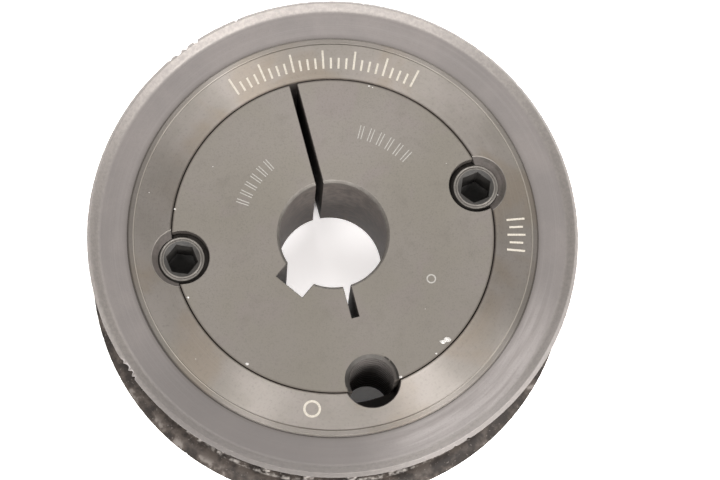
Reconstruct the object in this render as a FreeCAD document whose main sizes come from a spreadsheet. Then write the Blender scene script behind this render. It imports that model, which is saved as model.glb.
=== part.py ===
"""Flanged timing-belt pulley on a split taper bush, as a parametric document.

Frame: the pulley's axis is Z and the origin is on it, midway along the hub. +Z points out of
the face that carries the set screws, which is the large end of the taper. The bush's split
runs up and slightly to -X, and the set screws are to the left (-X) and right (+X) of it.
Lengths are millimetres, angles are degrees counted from +X towards +Y.
"""

import FreeCAD, Part
import math
import os

import Sketcher

doc = FreeCAD.newDocument("timing_pulley")
ORIGIN_POINT = (-1, 1)  # how a sketch names its own origin
LEAST_CUT = 0.01  # cubic millimetres that a cut must remove
NEAR = 0.01  # how close, in millimetres, an edge must lie to where it is looked for


# ---------------------------------------------------------------- driving dimensions

SIZES = {
    # toothed rim: a round-groove profile of 8 mm pitch
    "tooth_count": 32,
    "tip_diameter": 80.115,
    "groove_radius": 2.7,
    "groove_centre_depth": 0.75,
    "tip_rounding": 0.75,
    "groove_phase": 9.07,
    # hub
    "hub_length": 25.4,
    "spigot_diameter": 72.6,
    "hub_face_diameter": 72.0,
    "hub_edge_depth": 0.3,
    "edge_break": 0.15,
    # pressed flanges: a flat ring with its lip bent away from the belt
    "flange_diameter": 87.0,
    "flange_sheet": 1.2,
    "flange_recess": 0.6,
    "lip_width": 1.46,
    "lip_angle": 35.0,
    "bend_radius": 1.6,
    # taper bush
    "bush_face_diameter": 57.15,
    "taper_half_angle": 4.0,
    "taper_clearance": 0.05,
    "bore_diameter": 19.0,
    "bore_chamfer": 0.4,
    "keyway_width": 6.0,
    "keyway_depth": 2.8,
    "keyway_angle": 228.5,
    "split_width": 1.4,
    "split_angle": 102.3,
    "relief_slot_reach": 15.5,
    # half holes, shared between bush and hub
    "screw_circle_radius": 26.99,
    "right_screw_angle": 17.6,
    "left_screw_angle": 187.0,
    "jack_hole_angle": 282.3,
    "thread_clearance": 0.05,
    "bush_hole_clearance": 0.08,
    "screw_hole_depth": 17.2,
    "hub_thread_depth": 19.5,
    "mouth_chamfer": 0.6,
    "jack_thread_core": 7.94,
    "jack_mouth_diameter": 9.5,
    "jack_clearance_diameter": 9.9,
    "drill_point_angle": 31.0,
    "jack_seat_depth": 15.5,
    # set screws, 3/8 inch by 5/8 inch
    "screw_diameter": 9.525,
    "screw_length": 15.875,
    "screw_recess": 1.25,
    "screw_ring_diameter": 7.7,
    "screw_point_diameter": 6.6,
    "socket_mouth_diameter": 6.2,
    "hex_width": 5.0,
    "hex_depth": 7.0,
    "left_hex_angle": 49.5,
    "right_hex_angle": 20.5,
}

sheet = doc.addObject("Spreadsheet::Sheet", "sizes")
for row, (alias, number) in enumerate(SIZES.items(), start=1):
    sheet.set(f"A{row}", alias)
    sheet.set(f"B{row}", str(number))
    sheet.setAlias(f"B{row}", alias)
doc.recompute()


def named(expression):
    """The expression with each driving dimension's alias written as a reference to the sheet."""
    for alias in sorted(SIZES, key=len, reverse=True):
        expression = expression.replace(f"<{alias}>", f"sizes.{alias}")
    return expression


def value(expression):
    """What an expression over the driving dimensions comes to, as a plain number."""
    result = sheet.evalExpression(named(expression))
    return float(getattr(result, "Value", result))


# ---------------------------------------------------------------- helpers

def new_body(name):
    body = doc.addObject("PartDesign::Body", name)
    body.Label = name
    return body


def origin_feature(body, role):
    return next(item for item in body.Origin.OriginFeatures if item.Role == role)


def new_sketch(body, name, plane="XY_Plane", turn=None, lift=None):
    """A sketch on one of the body's origin planes, turned about and lifted along its normal."""
    sketch = body.newObject("Sketcher::SketchObject", name)
    sketch.AttachmentSupport = (origin_feature(body, plane), [""])
    sketch.MapMode = "FlatFace"
    if turn:
        sketch.AttachmentOffset = FreeCAD.Placement(
            FreeCAD.Vector(), FreeCAD.Rotation(FreeCAD.Vector(0, 0, 1), 1.0)
        )
        sketch.setExpression("AttachmentOffset.Rotation.Angle", named(turn))
    if lift:
        sketch.setExpression("AttachmentOffset.Base.z", named(lift))
    return sketch


def bind(sketch, constraint, expression):
    index = sketch.addConstraint(constraint)
    sketch.setExpression(f"Constraints[{index}]", named(expression))


def place_point(sketch, geometry, end, x, y):
    """Hold one end of a line, or a circle's centre, at two expressions' values."""
    bind(sketch, Sketcher.Constraint("DistanceX", *ORIGIN_POINT, geometry, end, value(x)), x)
    bind(sketch, Sketcher.Constraint("DistanceY", *ORIGIN_POINT, geometry, end, value(y)), y)


def draw_outline(sketch, corners):
    """A closed outline of straight lines, each corner given as two expressions."""
    points = [FreeCAD.Vector(value(x), value(y), 0) for x, y in corners]
    count = len(points)
    for index in range(count):
        sketch.addGeometry(Part.LineSegment(points[index], points[(index + 1) % count]), False)
    for index in range(count):
        sketch.addConstraint(Sketcher.Constraint("Coincident", index, 2, (index + 1) % count, 1))
    for index, (x, y) in enumerate(corners):
        place_point(sketch, index, 1, x, y)


def draw_circle(sketch, x, radius):
    """A circle whose centre is on the sketch's own X axis."""
    centre = FreeCAD.Vector(value(x), 0, 0)
    circle = sketch.addGeometry(Part.Circle(centre, FreeCAD.Vector(0, 0, 1), value(radius)), False)
    sketch.addConstraint(Sketcher.Constraint("PointOnObject", circle, 3, -1))
    bind(sketch, Sketcher.Constraint("DistanceX", *ORIGIN_POINT, circle, 3, value(x)), x)
    bind(sketch, Sketcher.Constraint("Radius", circle, value(radius)), radius)


def turn_section(body, kind, name, corners):
    """A feature turned about Z from (radius, height) corners."""
    sketch = new_sketch(body, name + "_section", plane="XZ_Plane")
    draw_outline(sketch, corners)
    feature = body.newObject(kind, name)
    feature.Profile = sketch
    feature.ReferenceAxis = (sketch, ["V_Axis"])
    feature.Angle = 360.0
    doc.recompute()
    return feature


def revolve(body, name, corners):
    """Material added by turning."""
    return turn_section(body, "PartDesign::Revolution", name, corners)


def groove(body, name, corners):
    """Material turned away, which must remove some."""
    before = body.Shape.Volume
    turn_section(body, "PartDesign::Groove", name, corners)
    check_cut(body, name, before)


def check_cut(body, name, before):
    """Stop if a cut left the body's volume as it was."""
    if not body.Shape.Volume < before - LEAST_CUT:
        raise RuntimeError(f"{name} removed nothing from {body.Label}")


def pocket(body, sketch, name, length, both_ways=False):
    """A pocket down -Z from the sketch, or equally both ways, that must remove material."""
    before = body.Shape.Volume
    feature = body.newObject("PartDesign::Pocket", name)
    feature.Profile = sketch
    feature.Type = "Length"
    if both_ways:
        feature.SideType = "Symmetric"
    feature.setExpression("Length", named(length))
    doc.recompute()
    check_cut(body, name, before)
    return feature


def sunk_hole(body, name, angle, radius, depth):
    """A flat-bottomed hole on the screw circle, sunk from the front face; deep enough, it is a
    hole right through."""
    sketch = new_sketch(body, name + "_circle", turn=angle, lift="<hub_length> / 2")
    draw_circle(sketch, "<screw_circle_radius>", radius)
    pocket(body, sketch, name, depth)


def mouth_cone(body, name, angle, radius, widening):
    """A 45 degree countersink that opens a hole on the screw circle by `widening` all round."""
    before = body.Shape.Volume
    cone = body.newObject("PartDesign::SubtractiveCone", name)
    cone.AttachmentSupport = (origin_feature(body, "XY_Plane"), [""])
    cone.MapMode = "FlatFace"
    cone.setExpression("AttachmentOffset.Base.x", named(f"<screw_circle_radius> * cos({angle})"))
    cone.setExpression("AttachmentOffset.Base.y", named(f"<screw_circle_radius> * sin({angle})"))
    cone.setExpression("AttachmentOffset.Base.z", named(f"<hub_length> / 2 - ({widening})"))
    cone.setExpression("Radius1", named(radius))
    cone.setExpression("Radius2", named(f"({radius}) + ({widening})"))
    cone.setExpression("Height", named(widening))
    doc.recompute()
    check_cut(body, name, before)


# ---------------------------------------------------------------- pulley body

FACE = "<hub_length> / 2"
FLANGE_FRONT = "<hub_length> / 2 - <flange_recess>"
FLANGE_BACK = "<hub_length> / 2 - <flange_recess> - <flange_sheet>"
SPIGOT = "<spigot_diameter> / 2"
THREAD_RADIUS = "<screw_diameter> / 2 + <thread_clearance>"
THROUGH = "<hub_length> + 2"  # longer than the hub, so that a cut goes right through


def taper_radius(height, clearance):
    """Radius of the taper at a height, as an expression; the large end is at the front face."""
    return (
        f"<bush_face_diameter> / 2 + {clearance}"
        f" - (<hub_length> / 2 - ({height})) * tan(<taper_half_angle>)"
    )


def build_pulley_body():
    """Hub and toothed rim in one piece, with the taper bore and three half holes."""
    body = new_body("pulley_body")
    edge = "<edge_break>"
    front_lip = f"{FACE} - {edge}"
    back_lip = f"-({FACE}) + {edge}"
    mouth = taper_radius(FACE, "<taper_clearance>")
    tail = taper_radius(f"-({FACE})", "<taper_clearance>")
    revolve(body, "blank", [
        (f"{mouth} + {edge}", FACE),
        ("<hub_face_diameter> / 2", FACE),
        (SPIGOT, f"{FACE} - <hub_edge_depth>"),
        (SPIGOT, FLANGE_BACK),
        ("<tip_diameter> / 2", FLANGE_BACK),
        ("<tip_diameter> / 2", f"-({FLANGE_BACK})"),
        (SPIGOT, f"-({FLANGE_BACK})"),
        (SPIGOT, f"-({FACE}) + <hub_edge_depth>"),
        ("<hub_face_diameter> / 2", f"-({FACE})"),
        (f"{tail} + {edge}", f"-({FACE})"),
        (taper_radius(back_lip, "<taper_clearance>"), back_lip),
        (taper_radius(front_lip, "<taper_clearance>"), front_lip),
    ])

    space = new_sketch(body, "tooth_space_circle", turn="<groove_phase>")
    draw_circle(space, "<tip_diameter> / 2 - <groove_centre_depth>", "<groove_radius>")
    first = pocket(body, space, "tooth_space", f"2 * ({FLANGE_BACK})", both_ways=True)
    ring = body.newObject("PartDesign::PolarPattern", "tooth_spaces")
    ring.Originals = [first]
    ring.Axis = (space, ["N_Axis"])
    ring.Angle = 360.0
    ring.setExpression("Occurrences", named("<tooth_count>"))
    body.Tip = ring
    doc.recompute()

    tips = body.newObject("PartDesign::Fillet", "tooth_tips")
    tips.Base = (ring, tip_edges(ring.Shape))
    tips.setExpression("Radius", named("<tip_rounding>"))
    doc.recompute()

    for side in ("right", "left"):
        angle = f"<{side}_screw_angle>"
        sunk_hole(body, f"{side}_thread", angle, THREAD_RADIUS, "<hub_thread_depth>")
        mouth_cone(body, f"{side}_thread_mouth", angle, THREAD_RADIUS, "<mouth_chamfer>")
    sunk_hole(body, "jack_seat", "<jack_hole_angle>", "<jack_clearance_diameter> / 2",
               "<jack_seat_depth>")
    return body


def tip_edges(shape):
    """Names of the sharp edges, parallel to the axis, where the tooth spaces meet the rim."""
    radius = value("<tip_diameter> / 2")
    names = []
    for index, edge in enumerate(shape.Edges, start=1):
        ends = [vertex.Point for vertex in edge.Vertexes]
        if len(ends) != 2 or abs(ends[0].z - ends[1].z) < value(FLANGE_BACK):
            continue
        if all(abs(math.hypot(point.x, point.y) - radius) < NEAR for point in ends):
            names.append(f"Edge{index}")
    if len(names) != 2 * int(value("<tooth_count>")):
        raise RuntimeError(f"expected two tip edges a tooth, found {len(names)}")
    return names


# ---------------------------------------------------------------- flanges

def build_flange(name, side):
    """A sheet ring with its lip bent away from the belt; side is 1 at the front, -1 behind."""
    body = new_body(name)
    outer = "<flange_diameter> / 2"
    lip_front = f"{outer} - <flange_sheet> * sin(<lip_angle>)"
    bend_front = f"{lip_front} - <lip_width>"
    bend_back = f"{bend_front} + <flange_sheet> * tan(<lip_angle> / 2)"
    front_rise = "<lip_width> * tan(<lip_angle>)"
    back_rise = f"({outer} - ({bend_back})) * tan(<lip_angle>)"
    section = [
        (SPIGOT, FLANGE_BACK),
        (bend_back, FLANGE_BACK),
        (outer, f"{FLANGE_BACK} + {back_rise}"),
        (lip_front, f"{FLANGE_FRONT} + {front_rise}"),
        (bend_front, FLANGE_FRONT),
        (SPIGOT, FLANGE_FRONT),
    ]
    corners = [(radius, f"{side} * ({height})") for radius, height in section]
    ring = revolve(body, "ring", corners)
    bend = body.newObject("PartDesign::Fillet", "bend")
    bend.Base = (ring, bend_edges(ring.Shape, value(bend_front), value(FLANGE_FRONT)))
    bend.setExpression("Radius", named("<bend_radius>"))
    doc.recompute()
    return body


def bend_edges(shape, radius, height):
    """Names of the circular edges at a radius and a height on either side of the middle."""
    names = []
    for index, edge in enumerate(shape.Edges, start=1):
        curve = edge.Curve
        if isinstance(curve, Part.Circle) and abs(curve.Radius - radius) < NEAR:
            if abs(abs(curve.Center.z) - height) < NEAR:
                names.append(f"Edge{index}")
    if not names:
        raise RuntimeError("the flange's bend edge was not found")
    return names


# ---------------------------------------------------------------- taper bush

def build_taper_bush():
    """Split taper bush: bore, keyway, split, relief slit and its share of the three holes."""
    body = new_body("taper_bush")
    bore = "<bore_diameter> / 2"
    chamfer = "<bore_chamfer>"
    edge = "<edge_break>"
    front_edge = f"{FACE} - {edge}"
    back_edge = f"-({FACE}) + {edge}"
    revolve(body, "blank", [
        (bore, f"-({FACE}) + {chamfer}"),
        (f"{bore} + {chamfer}", f"-({FACE})"),
        (f"{taper_radius(back_edge, '0')} - {edge}", f"-({FACE})"),
        (taper_radius(back_edge, "0"), back_edge),
        (taper_radius(front_edge, "0"), front_edge),
        (f"{taper_radius(front_edge, '0')} - {edge}", FACE),
        (f"{bore} + {chamfer}", FACE),
        (bore, f"{FACE} - {chamfer}"),
    ])

    keyway_floor = f"{bore} + <keyway_depth>"
    cut_slot(body, "keyway", "<keyway_angle>", "<keyway_width>", keyway_floor)
    cut_slot(body, "relief_slit", "<split_angle> + 180", "<split_width>", "<relief_slot_reach>")
    cut_slot(body, "split", "<split_angle>", "<split_width>", "<bush_face_diameter> / 2 + 1")

    hole_radius = "<screw_diameter> / 2 + <bush_hole_clearance>"
    for side in ("right", "left"):
        sunk_hole(body, f"{side}_screw_seat", f"<{side}_screw_angle>", hole_radius,
                   "<screw_hole_depth>")
    jack_core = "<jack_thread_core> / 2"
    sunk_hole(body, "jack_thread", "<jack_hole_angle>", jack_core, THROUGH)
    mouth_cone(body, "jack_thread_mouth", "<jack_hole_angle>", jack_core,
               "(<jack_mouth_diameter> - <jack_thread_core>) / 2")
    return body


def cut_slot(body, name, angle, width, reach):
    """A straight slot right through, from inside the bore out to `reach` along an angle."""
    sketch = new_sketch(body, name + "_outline", turn=angle)
    inner = "<bore_diameter> / 4"
    draw_outline(sketch, [
        (inner, f"-{width} / 2"),
        (reach, f"-{width} / 2"),
        (reach, f"{width} / 2"),
        (inner, f"{width} / 2"),
    ])
    pocket(body, sketch, name, THROUGH, both_ways=True)


# ---------------------------------------------------------------- set screws

def build_set_screw(side):
    """Socket set screw, made upright on Z with its ring at zero, then set in its hole."""
    body = new_body(f"set_screw_{side}")
    shank = "<screw_diameter> / 2"
    ring = "<screw_ring_diameter> / 2"
    point = "<screw_point_diameter> / 2"
    socket_corner = "<hex_width> / 2 / cos(30)"
    revolve(body, "shank", [
        ("0", "-<screw_length>"),
        (point, "-<screw_length>"),
        (shank, f"-<screw_length> + {shank} - {point}"),
        (shank, f"-({shank} - {ring})"),
        (ring, "0"),
        ("0", "0"),
    ])

    hexagon = new_sketch(body, "socket_hexagon", turn=f"<{side}_hex_angle>")
    draw_outline(hexagon, [
        (f"{socket_corner} * cos({60 * step})", f"{socket_corner} * sin({60 * step})")
        for step in range(6)
    ])
    pocket(body, hexagon, "socket", "<hex_depth>")
    mouth = "<socket_mouth_diameter> / 2"
    mouth_floor = f"-({mouth} - <hex_width> / 2) * tan(30)"
    groove(body, "socket_mouth", [
        ("0", "0"),
        (mouth, "0"),
        ("<hex_width> / 2", mouth_floor),
        ("0", mouth_floor),
    ])
    drill_point = "<hex_width> / 2 * tan(<drill_point_angle>)"
    groove(body, "socket_drill_point", [
        ("0", "-<hex_depth>"),
        ("<hex_width> / 2", "-<hex_depth>"),
        ("0", f"-<hex_depth> - {drill_point}"),
    ])

    angle = f"<{side}_screw_angle>"
    body.setExpression("Placement.Base.x", named(f"<screw_circle_radius> * cos({angle})"))
    body.setExpression("Placement.Base.y", named(f"<screw_circle_radius> * sin({angle})"))
    body.setExpression("Placement.Base.z", named(f"{FACE} - <screw_recess>"))
    doc.recompute()
    return body


# ---------------------------------------------------------------- build, check, write

bodies = [
    build_pulley_body(),
    build_flange("front_flange", 1),
    build_flange("rear_flange", -1),
    build_taper_bush(),
    build_set_screw("left"),
    build_set_screw("right"),
]
doc.recompute()

for item in doc.Objects:
    if "Invalid" in item.State or "Error" in item.State:
        raise RuntimeError(f"{item.Label} failed: {item.State}")
for body in bodies:
    if body.Shape.isNull() or not body.Shape.isValid():
        raise RuntimeError(f"{body.Label} has no valid shape")

os.makedirs("parts", exist_ok=True)
for body in bodies:
    body.Shape.exportStep(f"parts/{body.Label}.step")
    box = body.Shape.BoundBox
    print(
        f"{body.Label}: {body.Shape.Volume:.1f} mm3, solids {len(body.Shape.Solids)},"
        f" X {box.XMin:.2f}..{box.XMax:.2f}, Y {box.YMin:.2f}..{box.YMax:.2f},"
        f" Z {box.ZMin:.2f}..{box.ZMax:.2f}"
    )
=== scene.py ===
"""Looks of the flanged timing-belt pulley on its split taper bush.

The meshes are drawn in millimetres in the CAD frame (axis Z, origin midway along the hub, set
screws on the +Z face) and stored in metres. Angles count from +X towards +Y, in degrees.
"""

import math

import bmesh
import bpy
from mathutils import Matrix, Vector, noise


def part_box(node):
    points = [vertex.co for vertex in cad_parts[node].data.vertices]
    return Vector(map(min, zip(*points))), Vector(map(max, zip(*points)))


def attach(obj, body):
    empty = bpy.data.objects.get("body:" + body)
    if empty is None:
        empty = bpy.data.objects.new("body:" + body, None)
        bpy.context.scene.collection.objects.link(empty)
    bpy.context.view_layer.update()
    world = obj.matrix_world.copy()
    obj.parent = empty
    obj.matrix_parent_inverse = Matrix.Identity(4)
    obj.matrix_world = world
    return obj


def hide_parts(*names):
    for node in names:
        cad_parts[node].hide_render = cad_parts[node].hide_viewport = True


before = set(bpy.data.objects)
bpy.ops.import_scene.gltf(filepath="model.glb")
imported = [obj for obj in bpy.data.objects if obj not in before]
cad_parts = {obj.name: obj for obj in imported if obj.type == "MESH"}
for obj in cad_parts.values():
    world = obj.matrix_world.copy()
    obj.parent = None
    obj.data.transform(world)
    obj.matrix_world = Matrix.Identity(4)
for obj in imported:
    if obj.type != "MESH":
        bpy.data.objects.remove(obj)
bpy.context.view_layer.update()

MM = 0.001

# ---------------------------------------------------------------- sizes, in millimetres

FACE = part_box("pulley_body")[1].z / MM  # the hub's faces are this far each side of the middle
FLANGE_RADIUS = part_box("front_flange")[1].y / MM
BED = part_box("rear_flange")[0].z / MM  # the height of the surface that the rear lip rests on
CLEAR = 1.0  # how far a cutting shape stands out of the metal

TOOTH_COUNT = 32
TIP_RADIUS = 80.115 / 2
GROOVE_RADIUS = 2.7
GROOVE_DEPTH = 0.75  # how far the groove's centre lies below the tips
TIP_ROUNDING = 0.75
GROOVE_PHASE = 9.07  # the angle of the middle of one groove

SPIGOT_RADIUS = 72.6 / 2
HUB_FACE_RADIUS = 72.0 / 2
HUB_EDGE = 0.3  # how far below the face the spigot's side starts
LINE_START, LINE_BOTTOM, LINE_END = 35.1, 35.2, 35.32  # the turned line in the hub's face
LINE_DEPTH = 0.12
STEP_DEPTH = 0.05  # how far the face outside the turned line is below the rest

FLANGE_SHEET = 1.2
FLANGE_FRONT = FACE - 0.6
FLANGE_BACK = FLANGE_FRONT - FLANGE_SHEET
FLANGE_GAP = 0.02  # between the hub's spigot and the flange's bore
FLANGE_COLUMNS = 1440  # four to a degree, for the nicks
LIP_WIDTH = 1.46
LIP_ANGLE = math.radians(35.0)

BUSH_RADIUS = 57.15 / 2
TAPER = math.tan(math.radians(4.0))
TAPER_GAP = 0.05  # how far the drawn hub stays outside the nominal taper
BUSH_EASE = 0.1  # how far the drawn bush stays inside it
BORE_RADIUS = 19.0 / 2
BORE_CHAMFER = 0.5
KEYWAY_ANGLE, KEYWAY_WIDTH, KEYWAY_FLOOR = 228.5, 6.0, 12.3
SPLIT_ANGLE, SPLIT_WIDTH = 102.3, 1.4
RELIEF_REACH = 15.5  # the distance from the axis at which the relief slit ends

SCREW_CIRCLE = 26.99
SCREW_ANGLES = {"left": 187.0, "right": 17.6}
SOCKET_ANGLES = {"left": 49.5, "right": 20.5}
JACK_ANGLE = 282.3
THREAD_PITCH = 25.4 / 16
SCREW_RADIUS = 9.525 / 2
THREAD_CORE = 3.95  # the radius at a thread's root
THREAD_GAP = 0.05  # how much larger in radius than its screw a tapped hole is
SCREW_TOP, SCREW_LENGTH = FACE - 1.25, 15.875
SCREW_POINT = 3.3  # the radius of a screw's flat lower end
OUTER_RIDGE, INNER_RIDGE = 3.95, 3.5  # the outer radii of the two ridges on its top
OUTER_WIDTH, INNER_WIDTH = 0.15, 0.14  # how far inside those radii the ridges are highest
RIDGE_HEIGHT = 0.06
SOCKET_FLAT = 5.0 / 2
SOCKET_DEPTH = 7.0
SOCKET_MOUTH, MOUTH_SLOPE, MOUTH_DEPTH = 3.25, 1.73, 0.43  # the cone that eases the socket
DRILL_POINT = 1.5  # the height of the cone at a blind hole's bottom

HUB_HOLE_DEPTH = 19.5  # of the hub's tapped half holes
HUB_COUNTERSINK = 0.6
CONE_END = 1.5  # how far below the face the cones that cut the countersinks end
RIM = 0.13  # how wide the eased edge of such a hole is, painted as burnished metal with a painted highlight
BUSH_HOLE_GAP, BUSH_HOLE_DEPTH = 0.08, 17.2  # of the bush's plain half holes
JACK_SEAT_RADIUS, JACK_SEAT_DEPTH = 4.95, 15.5  # of the hub's plain half of the jacking hole
JACK_CORE = THREAD_CORE + 0.02
JACK_MOUTH = 4.75  # the radius of the countersink on the bush's tapped half
HOLE_REACH = 5.6  # faces nearer than this to a hole's middle belong to the hole

MARK_LIFT = 0.02  # how far the marks stand out of the face, and how deep they go
HUB_MARK_WIDTH, BUSH_MARK_WIDTH = 0.36, 0.17

TABLE_REACH = 3000.0  # half the table's width, which fills every view


def on_circle(angle, radius, height=0.0):
    """The point at an angle and a distance from the axis."""
    turn = math.radians(angle)
    return Vector((radius * math.cos(turn), radius * math.sin(turn), height))


def apart(point, spot):
    """The distance between two points as seen along the axis."""
    return math.hypot(point.x - spot.x, point.y - spot.y)


def taper_radius(height, gap=0.0):
    """Radius of the taper at a height; the large end is at the front."""
    return BUSH_RADIUS + gap - (FACE - height) * TAPER


# ---------------------------------------------------------------- mesh helpers

def new_piece(name, points, faces):
    """A mesh object from points in millimetres."""
    mesh = bpy.data.meshes.new(name)
    mesh.from_pydata([tuple(c * MM for c in point) for point in points], [], faces)
    made = bmesh.new()
    made.from_mesh(mesh)
    bmesh.ops.remove_doubles(made, verts=made.verts, dist=1e-7)
    bmesh.ops.recalc_face_normals(made, faces=made.faces)
    made.to_mesh(mesh)
    made.free()
    piece = bpy.data.objects.new(name, mesh)
    bpy.context.scene.collection.objects.link(piece)
    return piece


def rounded(corners, steps=3):
    """A closed (radius, height) outline from (radius, height, rounding) corners."""
    outline = []
    for index, (x, y, rounding) in enumerate(corners):
        here = Vector((x, y))
        if not rounding:
            outline.append((x, y))
            continue
        before = Vector(corners[index - 1][:2]) - here
        after = Vector(corners[(index + 1) % len(corners)][:2]) - here
        half = before.angle(after) / 2
        # two roundings on one side never meet
        reach = min(rounding / math.tan(half), before.length * 0.45, after.length * 0.45)
        start, end = here + before.normalized() * reach, here + after.normalized() * reach
        for step in range(steps + 1):
            share = step / steps
            point = start.lerp(here, share).lerp(here.lerp(end, share), share)
            outline.append((point.x, point.y))
    return outline


def lathe(name, outline, columns, centre=(0, 0), turn=0.0, shape=None):
    """A closed outline turned about a vertical axis. shape(column, radius, height) may return
    another (angle in radians, radius, height) for a point of one column."""
    points, faces = [], []
    rows = len(outline)
    for column in range(columns):
        angle = math.radians(turn) + 2 * math.pi * column / columns
        for radius, height in outline:
            at, r, z = shape(column, radius, height) if shape else (angle, radius, height)
            points.append((centre[0] + r * math.cos(at), centre[1] + r * math.sin(at), z))
        after = (column + 1) % columns
        for row in range(rows):
            below, above = row, (row + 1) % rows
            faces.append((column * rows + below, after * rows + below,
                          after * rows + above, column * rows + above))
    return new_piece(name, points, faces)


def threaded_rod(name, centre, core, crest, low, high, columns=48):
    """A rod with a right-hand thread, closed at both ends. One turn climbs one pitch, and the
    thread's phase is fixed in the frame, so a screw and its hole built with it mesh."""
    profile = ((0.14, core), (0.44, crest), (0.56, crest), (0.86, core))  # by share of a pitch
    per_turn = len(profile)
    first = math.floor(low / THREAD_PITCH)
    turns = math.ceil(high / THREAD_PITCH) - first
    rows = turns * per_turn + 1
    points = []
    for column in range(columns):
        angle = 2 * math.pi * column / columns
        for row in range(rows + per_turn):
            share, radius = profile[row % per_turn]
            height = THREAD_PITCH * (first + row // per_turn + share + column / columns)
            points.append((centre[0] + radius * math.cos(angle),
                           centre[1] + radius * math.sin(angle), height))
    stride = rows + per_turn

    def at(column, row):
        if column == columns:
            return row + per_turn
        return column * stride + row

    faces = []
    for column in range(columns):
        for row in range(rows - 1):
            faces.append((at(column, row), at(column + 1, row),
                          at(column + 1, row + 1), at(column, row + 1)))
    for row, pole_height in ((0, low - 2 * THREAD_PITCH), (rows - 1, high + 2 * THREAD_PITCH)):
        pole = len(points)
        points.append((centre[0], centre[1], pole_height))
        rim = [at(column, row) for column in range(columns + 1)]
        rim += [at(0, row + step) for step in range(per_turn - 1, -1, -1)]
        faces += [(rim[i], rim[i + 1], pole) for i in range(len(rim) - 1)]
    used = sorted({index for face in faces for index in face})
    place = {index: number for number, index in enumerate(used)}
    return new_piece(name, [points[index] for index in used],
                     [tuple(place[index] for index in face) for face in faces])


def combine(piece, other, operation):
    """piece joined with, cut by or kept only inside the other mesh, which is used up."""
    modifier = piece.modifiers.new("combine", "BOOLEAN")
    modifier.operation = operation
    modifier.solver = "MANIFOLD"
    modifier.object = other
    bpy.context.view_layer.update()
    graph = bpy.context.evaluated_depsgraph_get()
    mesh = bpy.data.meshes.new_from_object(piece.evaluated_get(graph))
    piece.modifiers.clear()
    piece.data = mesh
    bpy.data.objects.remove(other)


def hole_cutter(name, centre, radius, depth, ease, flare):
    """A plain round hole in the front face, with an edge eased from `ease` below the face;
    `flare` is how much wider than the hole the cutter is at its top."""
    return lathe(name, [(0, FACE + CLEAR), (radius + flare, FACE + CLEAR),
                        (radius, FACE - ease), (radius, FACE - depth), (0, FACE - depth)],
                 96, centre=centre)


def slot_cutter(name, angle, width, reach, ease):
    """A slot right through the bush, from inside the bore out to reach, with eased edges."""
    along, across = on_circle(angle, 1.0), on_circle(angle + 90, 1.0)
    points, faces = [], []
    for height, extra in ((-FACE - CLEAR, ease + CLEAR), (-FACE + ease, 0),
                          (FACE - ease, 0), (FACE + CLEAR, ease + CLEAR)):
        half = width / 2 + extra
        end = reach + extra
        for out, side in ((BORE_RADIUS / 2, -half), (end, -half), (end, half),
                          (BORE_RADIUS / 2, half)):
            corner = along * out + across * side
            points.append((corner.x, corner.y, height))
    for level in range(3):
        for corner in range(4):
            after = (corner + 1) % 4
            faces.append((level * 4 + corner, level * 4 + after,
                          level * 4 + 4 + after, level * 4 + 4 + corner))
    faces += [(0, 1, 2, 3), (12, 13, 14, 15)]
    return new_piece(name, points, faces)


def finish_mesh(piece, sharp=30.0):
    """Smooth shading that keeps creases steeper than `sharp` degrees."""
    mesh = piece.data
    mesh.shade_smooth()
    mesh.set_sharp_from_angle(angle=math.radians(sharp))
    for polygon in mesh.polygons:
        if abs(polygon.normal.z) > 0.9999:
            polygon.use_smooth = False


def paint(piece, materials, names, choose=None):
    """Give the piece the named materials; choose(centre, normal) names one for each face, with
    its centre in millimetres."""
    piece.data.materials.clear()
    for name in names:
        piece.data.materials.append(materials[name])
    if choose:
        # a boolean leaves its faces in no fixed group, so each is told by where its middle lies
        for polygon in piece.data.polygons:
            polygon.material_index = names.index(choose(polygon.center / MM, polygon.normal))


# ---------------------------------------------------------------- shader helpers

def shaded(shade, *colour):
    """The colour dimmed or lifted."""
    return tuple(level * shade for level in colour)


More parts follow.
